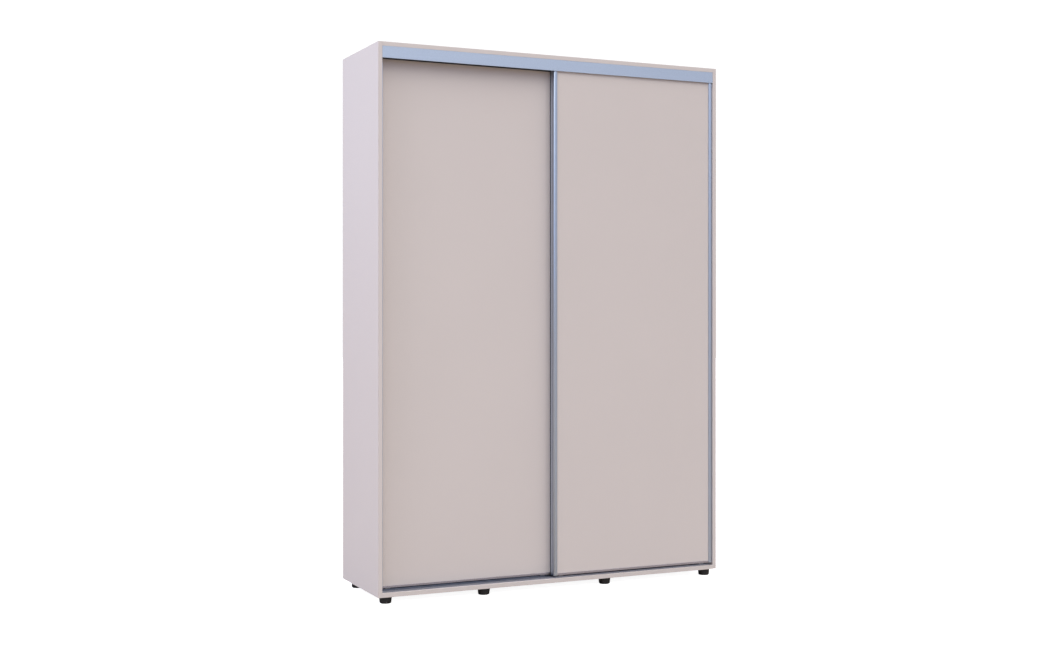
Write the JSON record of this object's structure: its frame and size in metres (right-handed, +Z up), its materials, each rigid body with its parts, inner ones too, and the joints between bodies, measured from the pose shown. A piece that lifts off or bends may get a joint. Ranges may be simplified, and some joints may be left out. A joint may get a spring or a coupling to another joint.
{
  "type": "sliding door wardrobe",
  "caption": "Tall free-standing wardrobe with sliding framed doors on overlapping tracks, shelves, a hanging rail and low feet.",
  "frame": {"origin": "on the floor, under the middle of the footprint", "axes": "+Z up, the doors face -Y, +X to the right as one faces the doors from in front"},
  "size_m": [1.5, 0.45, 2.14],
  "materials": {
    "carcass_laminate": "pale beige melamine laminate, fine satin texture",
    "shelf_laminate": "pale beige melamine laminate, fine satin texture",
    "door_laminate": "pale beige melamine laminate, fine satin texture",
    "edge_band": "beige ABS edging, satin",
    "back_fibreboard": "thin lacquered hardboard",
    "anodised_aluminium": "matte silver anodised extrusion",
    "black_brush": "dense black pile",
    "black_plastic": "moulded black plastic",
    "grey_plastic": "moulded grey plastic",
    "white_nylon": "turned nylon",
    "chromed_steel": "bright chrome plating",
    "zinc_alloy": "die-cast zinc",
    "beech": "fluted beech",
    "zinc_plated_steel": "zinc-plated steel"
  },
  "bodies": {
    "carcass": {"adjustable_shelf_1": "shelf_laminate", "adjustable_shelf_2": "shelf_laminate", "adjustable_shelf_3": "shelf_laminate", "adjustable_shelf_4": "shelf_laminate", "back_nails": "zinc_plated_steel", "back_sheet_left": "back_fibreboard", "back_sheet_right": "back_fibreboard", "bottom_board": "carcass_laminate", "bottom_track": "anodised_aluminium", "cam_bolts": "zinc_plated_steel", "cam_housings": "zinc_alloy", "centre_partition": "shelf_laminate", "dowels": "beech", "feet": "black_plastic", "fixed_shelf": "shelf_laminate", "foot_screws": "zinc_plated_steel", "front_edge_bands": "edge_band", "hanging_rail": "chromed_steel", "hanging_rail_brackets": "chromed_steel", "hanging_rail_screws": "zinc_plated_steel", "hat_shelf": "shelf_laminate", "inner_edge_bands": "edge_band", "shelf_pins": "zinc_plated_steel", "side_panel_left": "carcass_laminate", "side_panel_right": "carcass_laminate", "top_board": "carcass_laminate", "top_track": "anodised_aluminium", "track_screws": "zinc_plated_steel"},
    "left_door": {"left_door_adjusting_screws": "zinc_plated_steel", "left_door_assembly_screws": "zinc_plated_steel", "left_door_axles": "zinc_plated_steel", "left_door_bottom_rail": "anodised_aluminium", "left_door_brush": "black_brush", "left_door_carriages": "grey_plastic", "left_door_guide_brackets": "grey_plastic", "left_door_guide_pins": "zinc_plated_steel", "left_door_panel": "door_laminate", "left_door_stile_left": "anodised_aluminium", "left_door_stile_right": "anodised_aluminium", "left_door_top_rail": "anodised_aluminium"},
    "left_door_wheel_1": {"left_door_wheel_1": "white_nylon"},
    "left_door_wheel_2": {"left_door_wheel_2": "white_nylon"},
    "left_door_guide_roller_1": {"left_door_guide_roller_1": "white_nylon"},
    "left_door_guide_roller_2": {"left_door_guide_roller_2": "white_nylon"},
    "right_door": {"right_door_adjusting_screws": "zinc_plated_steel", "right_door_assembly_screws": "zinc_plated_steel", "right_door_axles": "zinc_plated_steel", "right_door_bottom_rail": "anodised_aluminium", "right_door_brush": "black_brush", "right_door_carriages": "grey_plastic", "right_door_guide_brackets": "grey_plastic", "right_door_guide_pins": "zinc_plated_steel", "right_door_panel": "door_laminate", "right_door_stile_left": "anodised_aluminium", "right_door_stile_right": "anodised_aluminium", "right_door_top_rail": "anodised_aluminium"},
    "right_door_wheel_1": {"right_door_wheel_1": "white_nylon"},
    "right_door_wheel_2": {"right_door_wheel_2": "white_nylon"},
    "right_door_guide_roller_1": {"right_door_guide_roller_1": "white_nylon"},
    "right_door_guide_roller_2": {"right_door_guide_roller_2": "white_nylon"}
  },
  "joints": [
    {"name": "left_door_slide", "type": "slide", "parent": "carcass", "child": "left_door", "axis": [1, 0, 0], "range_m": [0, 0.7247]},
    {"name": "left_door_wheel_1_spin", "type": "hinge", "parent": "left_door", "child": "left_door_wheel_1", "pos_m": [-0.6916, -0.16195, 0.0588], "axis": [0, 1, 0], "continuous": true},
    {"name": "left_door_wheel_2_spin", "type": "hinge", "parent": "left_door", "child": "left_door_wheel_2", "pos_m": [-0.0331, -0.16195, 0.0588], "axis": [0, 1, 0], "continuous": true},
    {"name": "left_door_guide_roller_1_spin", "type": "hinge", "parent": "left_door", "child": "left_door_guide_roller_1", "pos_m": [-0.6916, -0.16825, 2.105], "axis": [0, 0, 1], "continuous": true},
    {"name": "left_door_guide_roller_2_spin", "type": "hinge", "parent": "left_door", "child": "left_door_guide_roller_2", "pos_m": [-0.0331, -0.16825, 2.105], "axis": [0, 0, 1], "continuous": true},
    {"name": "right_door_slide", "type": "slide", "parent": "carcass", "child": "right_door", "axis": [1, 0, 0], "range_m": [-0.7247, 0]},
    {"name": "right_door_wheel_1_spin", "type": "hinge", "parent": "right_door", "child": "right_door_wheel_1", "pos_m": [0.0331, -0.19895, 0.0588], "axis": [0, 1, 0], "continuous": true},
    {"name": "right_door_wheel_2_spin", "type": "hinge", "parent": "right_door", "child": "right_door_wheel_2", "pos_m": [0.6916, -0.19895, 0.0588], "axis": [0, 1, 0], "continuous": true},
    {"name": "right_door_guide_roller_1_spin", "type": "hinge", "parent": "right_door", "child": "right_door_guide_roller_1", "pos_m": [0.0331, -0.20525, 2.105], "axis": [0, 0, 1], "continuous": true},
    {"name": "right_door_guide_roller_2_spin", "type": "hinge", "parent": "right_door", "child": "right_door_guide_roller_2", "pos_m": [0.6916, -0.20525, 2.105], "axis": [0, 0, 1], "continuous": true}
  ],
  "couplings": [
    {"joint": "left_door_wheel_1_spin", "follows": "left_door_slide", "rad_per_m": 71.429},
    {"joint": "left_door_wheel_2_spin", "follows": "left_door_slide", "rad_per_m": 71.429},
    {"joint": "left_door_guide_roller_1_spin", "follows": "left_door_slide", "rad_per_m": 58.824},
    {"joint": "left_door_guide_roller_2_spin", "follows": "left_door_slide", "rad_per_m": 58.824},
    {"joint": "right_door_wheel_1_spin", "follows": "right_door_slide", "rad_per_m": 71.429},
    {"joint": "right_door_wheel_2_spin", "follows": "right_door_slide", "rad_per_m": 71.429},
    {"joint": "right_door_guide_roller_1_spin", "follows": "right_door_slide", "rad_per_m": 58.824},
    {"joint": "right_door_guide_roller_2_spin", "follows": "right_door_slide", "rad_per_m": 58.824}
  ]
}
